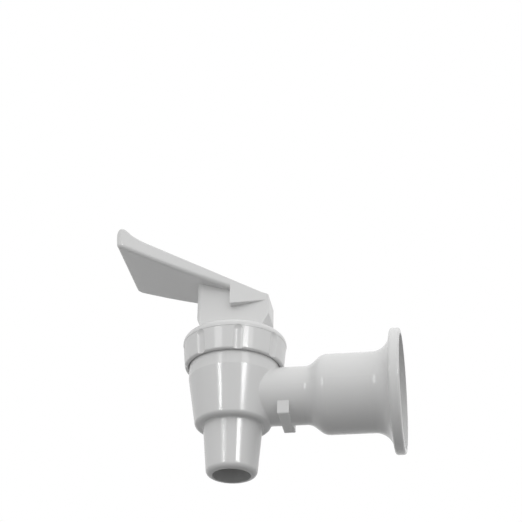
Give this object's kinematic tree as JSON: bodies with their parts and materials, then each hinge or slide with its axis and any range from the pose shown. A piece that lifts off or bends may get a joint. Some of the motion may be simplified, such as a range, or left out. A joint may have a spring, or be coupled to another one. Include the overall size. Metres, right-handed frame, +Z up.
{
  "type": "beverage dispenser spigot",
  "caption": "Push-down dispenser faucet: tapered bowl and nozzle, screw bonnet, cam-foot paddle, and a flanged inlet collar threaded inside for the appliance's stub.",
  "frame": {"origin": "centre of the threaded socket's mouth, on the inlet's axis; the wall flange's back stands 2.2 mm ahead of it", "axes": "+Y out of the inlet towards the appliance, +Z up along the outlet's axis, X across; the paddle and the outlet lie on the -Y side"},
  "size_m": [0.0426, 0.0984, 0.0876],
  "materials": {
    "gloss_shell": "smooth moulded light grey-white gloss",
    "handle_plastic": "moulded light grey-white, satin",
    "stem_plastic": "natural acetal",
    "stainless": "drawn stainless",
    "silicone": "translucent white silicone, matte",
    "washer_rubber": "black rubber"
  },
  "bodies": {
    "faucet": {"faucet_body": "gloss_shell", "bonnet": "gloss_shell", "seat_cup": "silicone", "slip_ring": "stem_plastic", "lift_spring": "stainless", "inlet_washer": "washer_rubber"},
    "valve_stem": {"stem": "stem_plastic", "spring_washer": "stainless"},
    "lever": {"handle": "handle_plastic", "pivot_pin": "stainless"}
  },
  "joints": [
    {"name": "stem_lift", "type": "slide", "parent": "faucet", "child": "valve_stem", "axis": [0, 0, 1], "range_m": [0, 0.002], "stiffness_N_per_m": 800, "springref_m": -0.008, "deforming": ["lift_spring", "seat_cup"]},
    {"name": "handle_press", "type": "hinge", "parent": "valve_stem", "child": "lever", "pos_m": [0, -0.0555, 0.0315], "axis": [1, 0, 0], "range_deg": [0, 28]}
  ],
  "couplings": [
    {"joint": "handle_press", "follows": "stem_lift", "rad_per_m": 243.9}
  ]
}
